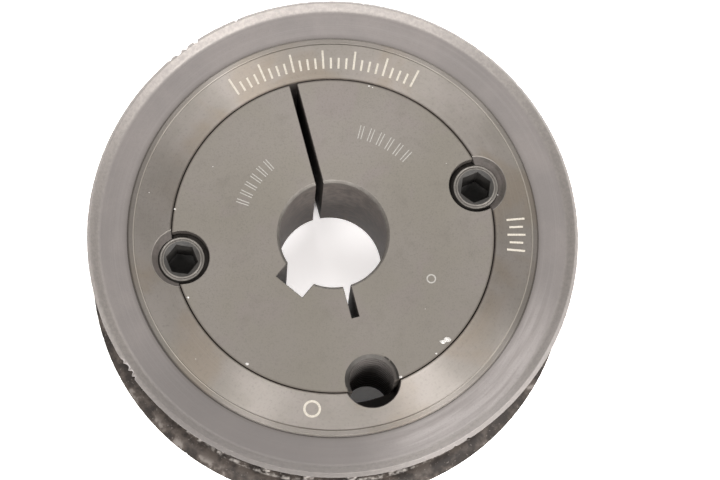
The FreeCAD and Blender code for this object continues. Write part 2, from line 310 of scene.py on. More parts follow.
class Shader:
    """One material's node tree, built from the bottom up. Shares and bands are 0 to 1."""

    def __init__(self, name, metallic=0.0, roughness=0.5, anisotropic=0.0, **sockets):
        self.material = bpy.data.materials.new(name)
        self.material.use_nodes = True
        self.tree = self.material.node_tree
        self.surface = self.tree.nodes["Principled BSDF"]
        self.surface.inputs["Metallic"].default_value = metallic
        self.surface.inputs["Roughness"].default_value = roughness
        self.surface.inputs["Anisotropic"].default_value = anisotropic
        self.surface.inputs["Anisotropic Rotation"].default_value = 0.25
        for socket, amount in sockets.items():
            self.surface.inputs[socket.replace("_", " ")].default_value = amount
        self.position = self.node("TexCoord").outputs["Object"]

    def node(self, kind, inputs=(), **settings):
        """A node whose inputs are given by name or number, as numbers or other outputs."""
        made = self.tree.nodes.new("ShaderNode" + kind)
        for setting, choice in settings.items():
            setattr(made, setting, choice)
        for key, given in dict(inputs).items():
            if isinstance(given, bpy.types.NodeSocket):
                self.tree.links.new(given, made.inputs[key])
            else:
                made.inputs[key].default_value = given
        return made

    def math(self, operation, first, second=0.0, third=0.0):
        """The result of one Math node."""
        given = {0: first, 1: second, 2: third}
        return self.node("Math", given, operation=operation).outputs[0]

    def polar(self):
        """Radius, angle and height about Z, in millimetres, radians and millimetres."""
        if not hasattr(self, "_polar"):
            split = self.node("SeparateXYZ", {0: self.position})
            x, y, z = split.outputs
            radius = self.math("SQRT", self.math("ADD", self.math("MULTIPLY", x, x),
                                                 self.math("MULTIPLY", y, y)))
            self._polar = (self.math("DIVIDE", radius, MM), self.math("ARCTAN2", y, x),
                           self.math("DIVIDE", z, MM))
        return self._polar

    def noise(self, size, detail=3.0, stretch=None, distort=0.0):
        """Noise whose blobs are about `size` millimetres; stretch scales X, Y and Z."""
        vector = self.position
        if stretch:
            vector = self.node("VectorMath", {0: vector, 1: stretch},
                               operation="MULTIPLY").outputs[0]
        given = {"Vector": vector, "Scale": 1 / (size * MM), "Detail": detail,
                 "Roughness": 0.55, "Distortion": distort}
        return self.node("TexNoise", given).outputs[0]

    def rings(self, size, arc=25.0, detail=2.0):
        """Noise drawn out along circles about Z: `size` across the marks, `arc` along them."""
        radius, angle, height = self.polar()
        across = self.math("DIVIDE", radius, size)
        along = self.math("DIVIDE", self.math("MULTIPLY", angle, 30.0), arc)
        down = self.math("DIVIDE", height, size)
        vector = self.node("CombineXYZ", {0: across, 1: along, 2: down}).outputs[0]
        given = {"Vector": vector, "Scale": 1.0, "Detail": detail, "Roughness": 0.6}
        return self.node("TexNoise", given).outputs[0]

    def band(self, number, low, high):
        """0 below low, 1 above high and a smooth rise between; high below low turns it round."""
        given = {"Value": number, "From Min": low, "From Max": high}
        return self.node("MapRange", given, interpolation_type="SMOOTHSTEP").outputs[0]

    def mix(self, share, first, second):
        """The first colour at share 0 and the second at 1."""
        made = self.node("Mix", {0: share}, data_type="RGBA")
        for socket, given in ((made.inputs[6], first), (made.inputs[7], second)):
            if isinstance(given, bpy.types.NodeSocket):
                self.tree.links.new(given, socket)
            else:
                socket.default_value = (*given, 1.0)
        return made.outputs[2]

    def tint(self, base, number, low, high, share, colour):
        """base taken towards colour, by up to share, as the number goes from low to high."""
        amount = self.math("MULTIPLY", self.band(number, low, high), share)
        return self.mix(amount, base, colour)

    def link(self, socket, given):
        """Feed an output to one of the shader's own sockets."""
        self.tree.links.new(given, self.surface.inputs[socket])

    def roughness(self, number, low, high):
        """Roughness that goes from low to high as the number goes from 0 to 1."""
        given = {"Value": number, "To Min": low, "To Max": high}
        self.link("Roughness", self.node("MapRange", given).outputs[0])

    def bump(self, height, distance, under=None):
        """Relief of `distance` millimetres, laid over another normal."""
        given = {"Height": height, "Distance": distance * MM, "Strength": 1.0}
        if under is not None:
            given["Normal"] = under
        return self.node("Bump", given).outputs["Normal"]

    def leaning(self, lean):
        """The surface's normal leaned away from Z, as the feed marks of a faced surface lie."""
        split = self.node("SeparateXYZ", {0: self.position})
        radius = self.math("MULTIPLY", self.polar()[0], MM / lean)
        outward = self.node("CombineXYZ", {0: self.math("DIVIDE", split.outputs[0], radius),
                                           1: self.math("DIVIDE", split.outputs[1], radius)})
        outward = self.node("VectorTransform", {0: outward.outputs[0]}, vector_type="VECTOR",
                            convert_from="OBJECT", convert_to="WORLD").outputs[0]
        normal = self.node("NewGeometry").outputs["Normal"]
        return self.node("VectorMath", {0: normal, 1: outward}, operation="ADD").outputs[0]

    def towards(self, degrees):
        """1 in this direction from Z, falling to -1 on the far side."""
        return self.math("COSINE", self.math("SUBTRACT", self.polar()[1], math.radians(degrees)))

    def seam(self, radius, reach, depth):
        """depth on the circle of this radius about Z, fading to 0 at `reach` from it."""
        away = self.math("ABSOLUTE", self.math("SUBTRACT", self.polar()[0], radius))
        return self.math("MULTIPLY", self.band(away, reach, reach * 0.2), depth)

    def turned(self):
        """Grain that runs round Z, as a lathe leaves it."""
        tangent = self.node("Tangent", direction_type="RADIAL", axis="Z")
        self.link("Tangent", tangent.outputs[0])


def turned_steel():
    """Satin machined steel with a thin, stained oxide, for the hub's faces. The turned line has a
    painted highlight at its left and right and painted shade at its top and bottom."""
    s = Shader("turned_steel", metallic=0.9, anisotropic=1.0)
    fine, coarse = s.rings(0.12, 60.0), s.rings(0.9, 200.0)
    cloud, stain = s.noise(9.0, detail=4.0), s.noise(16.0, detail=3.0, distort=0.6)
    grain = s.noise(0.45, detail=2.0)
    base = s.mix(s.band(cloud, 0.35, 0.65), (0.120, 0.108, 0.099), (0.104, 0.094, 0.084))
    base = s.tint(base, stain, 0.48, 0.68, 0.7, (0.105, 0.087, 0.069))
    base = s.tint(base, grain, 0.5, 0.8, 0.35, (0.064, 0.058, 0.053))
    base = s.tint(base, fine, 0.45, 0.75, 0.25, (0.132, 0.123, 0.110))
    # the turned line: painted highlight at its left and right, painted shade at its top and
    # bottom
    sideways = s.band(s.math("ABSOLUTE", s.math("COSINE", s.polar()[1])), 0.2, 0.9)
    painted_line_highlight = s.math("MULTIPLY", s.seam(LINE_BOTTOM + 0.05, 0.16, 0.65), sideways)
    base = s.mix(painted_line_highlight, base, (0.240, 0.220, 0.192))
    painted_line_shade = s.math("MULTIPLY", s.seam(LINE_BOTTOM - 0.05, 0.18, 0.8),
                  s.math("SUBTRACT", 1.0, sideways))
    base = s.mix(painted_line_shade, base, (0.030, 0.025, 0.021))
    base = s.mix(s.seam(BUSH_RADIUS, 0.42, 0.8), base, (0.027, 0.021, 0.017))
    base = s.mix(s.seam(SPIGOT_RADIUS, 0.3, 0.5), base, (0.050, 0.042, 0.036))
    base = s.tint(base, s.polar()[0], LINE_END + 0.02, LINE_END + 0.1, 0.3,
                  (0.056, 0.050, 0.045))
    s.link("Base Color", base)
    s.roughness(coarse, 0.36, 0.46)
    relief = s.bump(fine, 0.004, under=s.leaning(0.06))
    s.link("Normal", s.bump(grain, 0.006, under=relief))
    s.turned()
    return s.material


def phosphated_steel():
    """Olive-grey phosphate over fine turning marks, for the bush; darker and browner towards the
    bottom, which is painted shade.
    """
    s = Shader("phosphated_steel", metallic=0.75, anisotropic=0.3)
    cloud, patch = s.noise(14.0, detail=4.0), s.noise(3.5, detail=5.0)
    tint = s.noise(8.0, detail=3.0, distort=0.8)
    grain, marks = s.noise(0.3, detail=3.0), s.rings(0.22, 50.0)
    base = s.mix(s.band(cloud, 0.3, 0.7), (0.080, 0.072, 0.061), (0.086, 0.077, 0.069))
    base = s.tint(base, tint, 0.5, 0.7, 0.6, (0.085, 0.073, 0.069))
    base = s.tint(base, patch, 0.5, 0.8, 0.4, (0.065, 0.058, 0.048))
    base = s.tint(base, grain, 0.45, 0.8, 0.45, (0.050, 0.045, 0.040))
    # painted shade: darker and browner towards the bottom
    base = s.tint(base, s.towards(-82.0), 0.1, 0.95, 0.3, (0.046, 0.041, 0.033))
    base = s.mix(s.seam(BUSH_RADIUS, 0.5, 0.85), base, (0.028, 0.022, 0.017))
    s.link("Base Color", base)
    s.roughness(patch, 0.46, 0.6)
    relief = s.bump(marks, 0.004)
    s.link("Normal", s.bump(grain, 0.01, under=relief))
    s.turned()
    return s.material


def sheet_steel(name, shade):
    """Cold-rolled sheet with a mottled, worn lip, for the flanges; shade dims or lifts it. It has
    a painted sheen at the lower right, painted shade at the bottom and painted shade along the
    joint with the hub."""
    s = Shader(name, metallic=0.8, anisotropic=0.35)
    radius = s.polar()[0]
    cloud, mottle = s.noise(8.0, detail=5.0), s.noise(0.6, detail=4.0)
    grain, marks = s.noise(0.25, detail=2.0), s.rings(0.3, 35.0)
    base = s.mix(s.band(cloud, 0.3, 0.7), shaded(shade, 0.093, 0.083, 0.079),
                 shaded(shade, 0.081, 0.073, 0.070))
    base = s.tint(base, marks, 0.45, 0.75, 0.3, shaded(shade, 0.108, 0.099, 0.095))
    lip = s.band(radius, 40.9, 41.7)  # across the bend
    worn = s.mix(s.band(mottle, 0.35, 0.65), shaded(shade, 0.126, 0.114, 0.106),
                 shaded(shade, 0.109, 0.099, 0.093))
    base = s.mix(lip, base, worn)
    # painted sheen, in streaks, at the lower right
    streak = s.rings(0.9, 11.0, detail=4.0)
    painted_sheen = s.math("MULTIPLY", s.band(s.towards(-50.0), 0.79, 0.98),
                    s.band(streak, 0.2, 0.72))
    base = s.mix(s.math("MULTIPLY", painted_sheen, 0.65), base, shaded(shade, 0.160, 0.147, 0.143))
    # painted shade at the bottom
    base = s.tint(base, s.towards(-112.0), 0.7, 1.0, 0.6, shaded(shade, 0.052, 0.047, 0.045))
    # painted shade along the joint with the hub's spigot
    base = s.tint(base, radius, SPIGOT_RADIUS + 1.1, SPIGOT_RADIUS, 0.4,
                  shaded(shade, 0.046, 0.040, 0.036))
    base = s.tint(base, grain, 0.5, 0.8, 0.3, shaded(shade, 0.066, 0.061, 0.059))
    s.link("Base Color", base)
    s.roughness(mottle, 0.4, 0.55)
    relief = s.bump(marks, 0.004)
    s.link("Normal", s.bump(mottle, 0.012, under=relief))
    s.turned()
    return s.material


def greasy_steel():
    """Brown belt dust and grease, for the teeth and the insides of the flanges. It is rubbed off
    in places on the tooth tips and knocked off along the edges of the lips, and these pale
    patches also stand for painted glints."""
    s = Shader("greasy_steel", metallic=0.06, Specular_IOR_Level=0.12)
    radius = s.polar()[0]
    patch, speck = s.noise(2.6, detail=5.0), s.noise(0.5, detail=3.0)
    base = s.mix(s.band(patch, 0.4, 0.62), (0.011, 0.0085, 0.0072), (0.032, 0.0255, 0.0215))
    base = s.tint(base, speck, 0.61, 0.72, 0.35, (0.130, 0.115, 0.104))
    # the tips start just inside TIP_RADIUS, and the flanges' insides just outside it
    tip = s.band(radius, TIP_RADIUS - 0.4, TIP_RADIUS - 0.05)
    # rubbed metal and painted glints on the tooth tips
    smear = s.noise(0.9, detail=4.0, stretch=(1.0, 1.0, 0.35))
    wear_and_glint = s.math("MULTIPLY", tip, s.band(smear, 0.42, 0.68))
    wear_and_glint = s.math("MULTIPLY", wear_and_glint, s.band(radius, 40.6, 40.3))
    base = s.mix(s.math("MULTIPLY", wear_and_glint, 0.85), base, (0.205, 0.187, 0.173))
    # knocked metal and painted glints along the lips' edges
    knocks_and_glints = s.math("MULTIPLY", s.band(radius, 41.6, 42.9), s.band(patch, 0.56, 0.68))
    base = s.mix(s.math("MULTIPLY", knocks_and_glints, 0.5), base, (0.135, 0.121, 0.111))
    s.link("Base Color", base)
    s.roughness(speck, 0.4, 0.75)
    relief = s.bump(patch, 0.12)
    s.link("Normal", s.bump(speck, 0.05, under=relief))
    return s.material


def black_oxide():
    """Dark, slightly oily steel, for the screws' flanks and threads."""
    s = Shader("black_oxide", metallic=0.6)
    grain, patch = s.noise(0.3, detail=3.0), s.noise(1.6, detail=3.0)
    base = s.mix(s.band(patch, 0.35, 0.65), (0.030, 0.026, 0.023), (0.044, 0.039, 0.035))
    base = s.tint(base, grain, 0.5, 0.75, 0.5, (0.018, 0.016, 0.014))
    s.link("Base Color", base)
    s.roughness(grain, 0.36, 0.52)
    s.link("Normal", s.bump(grain, 0.008))
    return s.material


def hole_wall(name, light, dark):
    """Dull, oily steel inside sockets, slots and holes; the tones are given, and the darker ones
    for the sockets are painted shade.
    """
    s = Shader(name, metallic=0.15, Specular_IOR_Level=0.25)
    grain, patch = s.noise(0.35, detail=3.0), s.noise(1.8, detail=3.0)
    base = s.mix(s.band(patch, 0.35, 0.65), light, dark)
    base = s.tint(base, grain, 0.5, 0.75, 0.5, shaded(0.6, *dark))
    s.link("Base Color", base)
    s.roughness(grain, 0.5, 0.7)
    s.link("Normal", s.bump(grain, 0.01))
    return s.material


def bore_steel():
    """The reamed bore: dark phosphate in small soft patches, with faint rings, and a painted
    light that makes it a little paler towards the mouth."""
    s = Shader("bore_steel", metallic=0.45, Specular_IOR_Level=0.3)
    angle, height = s.polar()[1:]
    lines = s.node("CombineXYZ", {0: s.math("MULTIPLY", angle, 2.0), 2: height}).outputs[0]
    rings = s.node("TexNoise", {"Vector": lines, "Scale": 1.6, "Detail": 4.0}).outputs[0]
    patch = s.noise(1.2, detail=5.0, distort=0.3)
    base = s.mix(s.band(patch, 0.28, 0.72), (0.040, 0.033, 0.029), (0.088, 0.073, 0.064))
    base = s.tint(base, rings, 0.5, 0.7, 0.35, (0.022, 0.019, 0.018))
    # painted light: paler towards the mouth
    base = s.tint(base, height, FACE - 2.5, FACE - 0.2, 0.35, (0.088, 0.079, 0.071))
    s.link("Base Color", base)
    s.roughness(patch, 0.5, 0.75)
    s.link("Normal", s.bump(rings, 0.01))
    return s.material


def rubbed_steel(name, shade):
    """Steel with its oxide partly rubbed off, for a screw's top, its ridges and the eased edges
    of holes; shade dims or lifts it. The lifted copies on the ridges and rims are also a painted
    highlight."""
    s = Shader(name, metallic=0.85)
    grain, patch = s.noise(0.25, detail=3.0), s.noise(1.2, detail=3.0)
    base = s.mix(s.band(patch, 0.3, 0.7), shaded(shade, 0.094, 0.086, 0.078),
                 shaded(shade, 0.074, 0.067, 0.060))
    base = s.tint(base, grain, 0.5, 0.8, 0.4, shaded(shade, 0.050, 0.045, 0.040))
    s.link("Base Color", base)
    s.roughness(grain, 0.42, 0.55)
    s.link("Normal", s.bump(grain, 0.006))
    return s.material


def etched_mark(name, light, dark):
    """Etching a little paler than the face round it, for the index marks."""
    s = Shader(name, metallic=0.1)
    grain = s.noise(0.2, detail=2.0)
    s.link("Base Color", s.mix(s.band(grain, 0.35, 0.7), light, dark))
    s.roughness(grain, 0.5, 0.8)
    s.link("Normal", s.bump(grain, 0.01))
    return s.material


def bright_swarf():
    """Freshly cut metal, for the specks caught in the joints."""
    s = Shader("bright_swarf", metallic=0.5)
    grain = s.noise(0.15, detail=2.0)
    s.link("Base Color", s.mix(s.band(grain, 0.35, 0.65), (0.27, 0.26, 0.25),
                               (0.17, 0.16, 0.15)))
    s.roughness(grain, 0.25, 0.5)
    s.link("Normal", s.bump(grain, 0.02))
    return s.material


def pale_table():
    """A white board, faintly uneven, that glows under the bore and beyond the flanges and is
    dim under the rest of the part."""
    s = Shader("pale_table", roughness=0.75, Emission_Color=(1, 0.96, 0.955, 1))
    wave = s.noise(22.0, detail=3.0)
    s.link("Base Color", s.mix(s.band(wave, 0.3, 0.7), (0.93, 0.915, 0.905),
                               (0.89, 0.875, 0.87)))
    radius = s.polar()[0]
    under_bore, beyond = s.band(radius, 13.0, 11.0), s.band(radius, 43.0, 50.0)
    glow = s.math("MULTIPLY_ADD", under_bore, 0.51, 0.03)
    s.link("Emission Strength", s.math("MULTIPLY_ADD", beyond, 0.42, glow))
    s.link("Normal", s.bump(wave, 0.35))
    return s.material


# ---------------------------------------------------------------- toothed hub

def tooth_outline():
    """One pitch of the rim as (angle in radians, radius), centred on a groove."""
    centre = TIP_RADIUS - GROOVE_DEPTH
    spread = 2 * math.asin((GROOVE_RADIUS + TIP_ROUNDING) / 2 / centre)
    half_pitch = math.pi / TOOTH_COUNT
    wall = math.pi / 2 - spread / 2
    half = []
    groove_steps, tip_steps = 7, 4
    for step in range(1, groove_steps + 1):
        at = wall * step / groove_steps
        half.append((GROOVE_RADIUS * math.sin(at), centre - GROOVE_RADIUS * math.cos(at)))
    corner = (centre * math.sin(spread), centre * math.cos(spread))
    for step in range(1, tip_steps + 1):
        at = (wall + spread) * step / tip_steps - spread / 2
        half.append((corner[0] - TIP_ROUNDING * math.cos(at),
                     corner[1] + TIP_ROUNDING * math.sin(at)))
    side = [(math.atan2(x, y), math.hypot(x, y)) for x, y in half]
    root = (0.0, centre - GROOVE_RADIUS)
    return ([(-a, r) for a, r in reversed(side)] + [root] + side
            + [(half_pitch, TIP_RADIUS)])


def tap_hub(hub, side, spot):
    """Cut one tapped half hole, with a countersink that has an eased edge, into the hub; the
    hub's painting makes that edge burnished metal with a painted highlight.
    """
    outer = SCREW_RADIUS + THREAD_GAP
    thread = threaded_rod(f"cut_{side}", spot, THREAD_CORE + THREAD_GAP,
                          SCREW_RADIUS + 2 * THREAD_GAP,
                          FACE - HUB_HOLE_DEPTH - DRILL_POINT - CLEAR, FACE + 2 * CLEAR)
    depth = lathe(f"depth_{side}", [
        (0, FACE + 2 * CLEAR), (outer, FACE + 2 * CLEAR), (outer, FACE - HUB_HOLE_DEPTH),
        (0, FACE - HUB_HOLE_DEPTH - DRILL_POINT),
    ], 64, centre=spot)
    combine(thread, depth, "INTERSECT")  # the thread, ended where a drill would end it
    combine(hub, thread, "DIFFERENCE")
    mouth = outer + HUB_COUNTERSINK
    cone = lathe(f"mouth_{side}", [
        (0, FACE + CLEAR), (mouth + CLEAR, FACE + CLEAR), (mouth - RIM, FACE - RIM),
        (THREAD_CORE, FACE - mouth + THREAD_CORE), (0, FACE - CONE_END),
    ], 96, centre=spot)
    combine(hub, cone, "DIFFERENCE")


def toothed_hub(materials):
    """The hub with its teeth, in one piece: a lathe shape whose rim follows the tooth outline."""
    pitch = tooth_outline()
    per_tooth = len(pitch)
    front, back = taper_radius(FACE, TAPER_GAP), taper_radius(-FACE, TAPER_GAP)
    outline = rounded([
        (front, FACE, 0.15), (LINE_START, FACE, 0.03), (LINE_BOTTOM, FACE - LINE_DEPTH, 0.03),
        (LINE_END, FACE - STEP_DEPTH, 0.03), (HUB_FACE_RADIUS, FACE - STEP_DEPTH, 0.1),
        (SPIGOT_RADIUS, FACE - HUB_EDGE, 0.05), (SPIGOT_RADIUS, FLANGE_BACK, 0),
        (TIP_RADIUS, FLANGE_BACK, 0), (TIP_RADIUS, -FLANGE_BACK, 0),
        (SPIGOT_RADIUS, -FLANGE_BACK, 0), (SPIGOT_RADIUS, -FACE + HUB_EDGE, 0.05),
        (HUB_FACE_RADIUS, -FACE, 0.1), (back, -FACE, 0.15),
    ])

    def shape(column, radius, height):
        tooth, step = divmod(column, per_tooth)
        angle, rim = pitch[step]
        at = math.radians(GROOVE_PHASE) + angle + 2 * math.pi * tooth / TOOTH_COUNT
        return at, (rim if radius == TIP_RADIUS else radius), height

    hub = lathe("toothed_hub", outline, TOOTH_COUNT * per_tooth, shape=shape)
    tapped = {side: on_circle(angle, SCREW_CIRCLE) for side, angle in SCREW_ANGLES.items()}
    for side, spot in tapped.items():
        tap_hub(hub, side, spot)
    jack = on_circle(JACK_ANGLE, SCREW_CIRCLE)
    seat = hole_cutter("jack_seat_cut", jack, JACK_SEAT_RADIUS, JACK_SEAT_DEPTH,
                       ease=0.15, flare=1.05)
    combine(hub, seat, "DIFFERENCE")

    def choose(centre, normal):
        radius = math.hypot(centre.x, centre.y)
        if radius > SPIGOT_RADIUS + 0.01:
            return "greasy"
        in_tapped = any(apart(centre, spot) < HOLE_REACH for spot in tapped.values())
        in_jack = apart(centre, jack) < HOLE_REACH
        if (in_tapped or in_jack) and -FACE < centre.z < FACE - 0.02:
            # the eased edge of a tapped hole: burnished metal with a painted highlight
            return "rim" if centre.z > FACE - RIM and not in_jack else "wall"
        in_taper = radius < BUSH_RADIUS + 0.1 and abs(centre.z) < FACE - 0.1
        return "wall" if in_taper else "turned"

    paint(hub, materials, ("turned", "greasy", "rim", "wall"), choose)
    finish_mesh(hub)
    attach(hub, "pulley")
    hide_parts("pulley_body")


# ---------------------------------------------------------------- flanges

# (angle, half width in degrees, depth in millimetres) of each dent in the front lip's edge
FRONT_NICKS = (
    (122.5, 0.6, 0.75), (125.3, 0.5, 0.5), (127.4, 0.8, 0.6), (130.0, 0.5, 0.25),
    (111.5, 0.4, 0.4), (80.5, 0.35, 0.25), (297.0, 0.4, 0.3), (300.6, 0.5, 0.35),
    (209.6, 0.7, 0.3), (211.3, 1.0, 0.55), (213.0, 0.6, 0.65), (214.4, 0.4, 0.4),
    (38.0, 0.4, 0.2), (21.0, 0.3, 0.15),
)
REAR_NICKS = (
    (196.0, 0.6, 0.15), (231.0, 0.5, 0.2), (262.0, 1.2, 0.35), (61.0, 0.5, 0.4),
)


def flange(name, node, side, nicks, materials):
    """A pressed ring with a flared lip: side is 1 for the front one and -1 for the rear one."""
    inner, outer = SPIGOT_RADIUS + FLANGE_GAP, FLANGE_RADIUS
    lip_front = outer - FLANGE_SHEET * math.sin(LIP_ANGLE)
    bend_front = lip_front - LIP_WIDTH
    bend_back = bend_front + FLANGE_SHEET * math.tan(LIP_ANGLE / 2)
    rise = LIP_WIDTH * math.tan(LIP_ANGLE)
    back_rise = (outer - bend_back) * math.tan(LIP_ANGLE)
    middle = ((bend_front + lip_front) / 2, FLANGE_FRONT + rise / 2)
    corners = [
        (inner, FLANGE_BACK, 0.06), (bend_back, FLANGE_BACK, 2.4),
        (outer, FLANGE_BACK + back_rise, 0.12), (lip_front, FLANGE_FRONT + rise, 0.12),
        (*middle, 0), (bend_front, FLANGE_FRONT, 1.6), (inner, FLANGE_FRONT, 0.06),
    ]

    def waves(at, count, depth):
        return noise.noise(Vector((count * math.cos(at), count * math.sin(at), side))) * depth

    def shape(column, radius, height):
        degrees = 360.0 * column / FLANGE_COLUMNS
        at = math.radians(degrees)
        share = max(0.0, min(1.0, (radius - bend_front) / (outer - bend_front)))
        # slow waves and fine ripples grow towards the edge, which stays inside the CAD box
        radius += (waves(at, 3, 0.03) + waves(at, 45, 0.035)) * share ** 2 - 0.03 * share
        for angle, half, depth in nicks:
            away = abs(degrees - angle) / half
            if away < 1.0:
                bite = depth * math.cos(away * math.pi / 2) ** 0.7
                limit = outer - bite
                if radius > limit:
                    height += (radius - limit) * -0.25
                    radius = limit
        return at, radius, side * height

    ring = lathe(name, rounded(corners, steps=4), FLANGE_COLUMNS, shape=shape)

    def choose(centre, normal):
        radius = math.hypot(centre.x, centre.y)
        if normal.z * side < -0.3:
            return "greasy"
        outward = (centre.x * normal.x + centre.y * normal.y) / radius
        # the lip's outward faces take a shaded copy of the sheet: painted shade
        return "edge" if outward > 0.4 and radius > bend_front else "sheet"

    paint(ring, materials, ("sheet", "edge", "greasy"), choose)
    finish_mesh(ring)
    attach(ring, "pulley")
    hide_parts(node)


# ---------------------------------------------------------------- taper bush

def split_bush(materials):
    """The taper bush, with its bore, keyway, relief slit, split and three half holes."""
    front, back = taper_radius(FACE, -BUSH_EASE), taper_radius(-FACE, -BUSH_EASE)
    outline = rounded([
        (BORE_RADIUS, FACE - BORE_CHAMFER, 0.06), (BORE_RADIUS + BORE_CHAMFER, FACE, 0.08),
        (front, FACE, 0.14), (back, -FACE, 0.14),
        (BORE_RADIUS + BORE_CHAMFER, -FACE, 0.08), (BORE_RADIUS, BORE_CHAMFER - FACE, 0.06),
    ])
    bush = lathe("split_bush", outline, 720)
    for name, angle, width, reach, ease in (
            ("cut_keyway", KEYWAY_ANGLE, KEYWAY_WIDTH, KEYWAY_FLOOR, 0.12),
            ("cut_relief", SPLIT_ANGLE + 180, SPLIT_WIDTH, RELIEF_REACH, 0.06),
            ("cut_split", SPLIT_ANGLE, SPLIT_WIDTH, BUSH_RADIUS + CLEAR, 0.1)):
        combine(bush, slot_cutter(name, angle, width, reach, ease), "DIFFERENCE")
    for side, angle in SCREW_ANGLES.items():
        seat = hole_cutter(f"seat_{side}", on_circle(angle, SCREW_CIRCLE),
                           SCREW_RADIUS + BUSH_HOLE_GAP, BUSH_HOLE_DEPTH, ease=0.1, flare=1.1)
        combine(bush, seat, "DIFFERENCE")
    jack = on_circle(JACK_ANGLE, SCREW_CIRCLE)
    thread = threaded_rod("jack_thread", jack, JACK_CORE, SCREW_RADIUS + THREAD_GAP,
                          -FACE - CLEAR, FACE + CLEAR)
    combine(bush, thread, "DIFFERENCE")
    cone = lathe("jack_mouth", [
        (0, FACE + CLEAR), (JACK_MOUTH + CLEAR, FACE + CLEAR),
        (JACK_CORE, FACE - JACK_MOUTH + JACK_CORE), (0, FACE - CONE_END),
    ], 96, centre=jack)
    combine(bush, cone, "DIFFERENCE")

    def choose(centre, normal):
        radius = math.hypot(centre.x, centre.y)
        if abs(centre.z) > FACE - 0.12:
            return "phosphate"
        if abs(radius - BORE_RADIUS) < 0.1 and abs(normal.z) < 0.3:
            return "bore"
        if abs(radius - taper_radius(centre.z)) < 0.2:
            return "phosphate"
        if normal.z > 0.6 and centre.z > FACE - 0.85:
            return "chamfer" if radius < BORE_RADIUS + 1.0 else "mouth"
        return "phosphate" if normal.z > 0.9 else "wall"

    paint(bush, materials, ("phosphate", "wall", "bore", "mouth", "chamfer"), choose)
    finish_mesh(bush)
    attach(bush, "bush")
    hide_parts("taper_bush")


# ---------------------------------------------------------------- set screws

def set_screw(side, materials):
    """A threaded screw with a hexagon socket; its top has one ridge outside and one inside."""
    spot = on_circle(SCREW_ANGLES[side], SCREW_CIRCLE)
    top, bottom = SCREW_TOP, SCREW_TOP - SCREW_LENGTH
    valley = top - RIDGE_HEIGHT
    # the crests stand a little proud, and the blank then cuts them to a flat
    rod = threaded_rod(f"{side}_set_screw", spot, THREAD_CORE, SCREW_RADIUS + 0.03,
                       bottom - CLEAR, top + CLEAR)
    blank = lathe("blank", rounded([
        (0, bottom, 0), (SCREW_POINT, bottom, 0.15),
        (SCREW_RADIUS, bottom + SCREW_RADIUS - SCREW_POINT, 0.05),
        (SCREW_RADIUS, top - SCREW_RADIUS + OUTER_RIDGE, 0.05), (OUTER_RIDGE, top - 0.04, 0.1),
        (OUTER_RIDGE - OUTER_WIDTH, top, 0.05), (OUTER_RIDGE - 2 * OUTER_WIDTH, valley, 0.04),
        (INNER_RIDGE, valley, 0.04), (INNER_RIDGE - INNER_WIDTH, top, 0.05), (0, top, 0),
    ]), 96, centre=spot)
    combine(rod, blank, "INTERSECT")
    corner = SOCKET_FLAT / math.cos(math.pi / 6)
    hexagon = lathe("hexagon", [
        (0, top + CLEAR), (corner, top + CLEAR), (corner, top - SOCKET_DEPTH),
        (0, top - (SOCKET_DEPTH + DRILL_POINT)),
    ], 6, centre=spot, turn=SOCKET_ANGLES[side])
    combine(rod, hexagon, "DIFFERENCE")
    mouth = lathe("mouth", [
        (0, top + CLEAR), (SOCKET_MOUTH + MOUTH_SLOPE, top + CLEAR),
        (SOCKET_FLAT, top - MOUTH_DEPTH), (0, top - MOUTH_DEPTH),
    ], 64, centre=spot)
    combine(rod, mouth, "DIFFERENCE")

    def choose(centre, normal):
        away = apart(centre, spot)
        # the socket's inside takes the darker wall, a painted shade
        if away < SOCKET_MOUTH - 0.1 and centre.z > bottom + 1.0:
            return "socket"
        if centre.z < top - 0.45:
            return "oxide"
        # the ridges: rubbed metal with a painted highlight
        raised = (OUTER_RIDGE - 0.29 < away < OUTER_RIDGE + 0.05
                  or SOCKET_MOUTH - 0.05 < away < INNER_RIDGE - 0.01)
        return "ridge" if raised and centre.z > top - 2 * RIDGE_HEIGHT else "ring"

    paint(rod, materials, ("oxide", "ring", "ridge", "socket"), choose)
    finish_mesh(rod)
    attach(rod, f"{side}_screw")
    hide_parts(f"set_screw_{side}")


# ---------------------------------------------------------------- index marks

def radial_marks(name, marks, width):
    """Thin raised bars on the front face, each (angle, radius, length), in one mesh."""
    points, faces = [], []
    for angle, radius, length in marks:
        centre = on_circle(angle, radius)
        along, across = on_circle(angle, 1.0), on_circle(angle + 90, 1.0)
        start = len(points)
        for lift in (-MARK_LIFT, MARK_LIFT):
            for u, v in ((-1, -1), (1, -1), (1, 1), (-1, 1)):
                corner = centre + along * (u * length / 2) + across * (v * width / 2)
                points.append((corner.x, corner.y, FACE + lift))
        for face in ((3, 2, 1, 0), (4, 5, 6, 7), (0, 1, 5, 4), (1, 2, 6, 5), (2, 3, 7, 6),
                     (3, 0, 4, 7)):
            faces.append(tuple(start + corner for corner in face))
    return new_piece(name, points, faces)


def ring_mark(name, centre, inner, outer, lift, columns):
    """A thin raised ring on the front face."""
    return lathe(name, [(inner, FACE - MARK_LIFT), (outer, FACE - MARK_LIFT),
                        (outer, FACE + lift), (inner, FACE + lift)], columns, centre=centre)


def hub_marks():
    """A plain scale of ticks over the top, five more at the right and a ring below."""
    marks = []
    tick, long_tick, spacing = 2.0, 3.4, 2.5
    for index in range(25):
        length = long_tick if index % 4 == 0 else tick
        marks.append((61.0 + spacing * index, 32.3 - (long_tick - length) / 2, length))
    for index in range(5):
        marks.append((-7.0 + spacing * index, 32.4, 2.4 if index % 2 else 3.2))
    return (radial_marks("hub_index_marks", marks, HUB_MARK_WIDTH),
            ring_mark("hub_zero_ring", on_circle(261.0, 31.6), 1.15, 1.55, MARK_LIFT, 40))


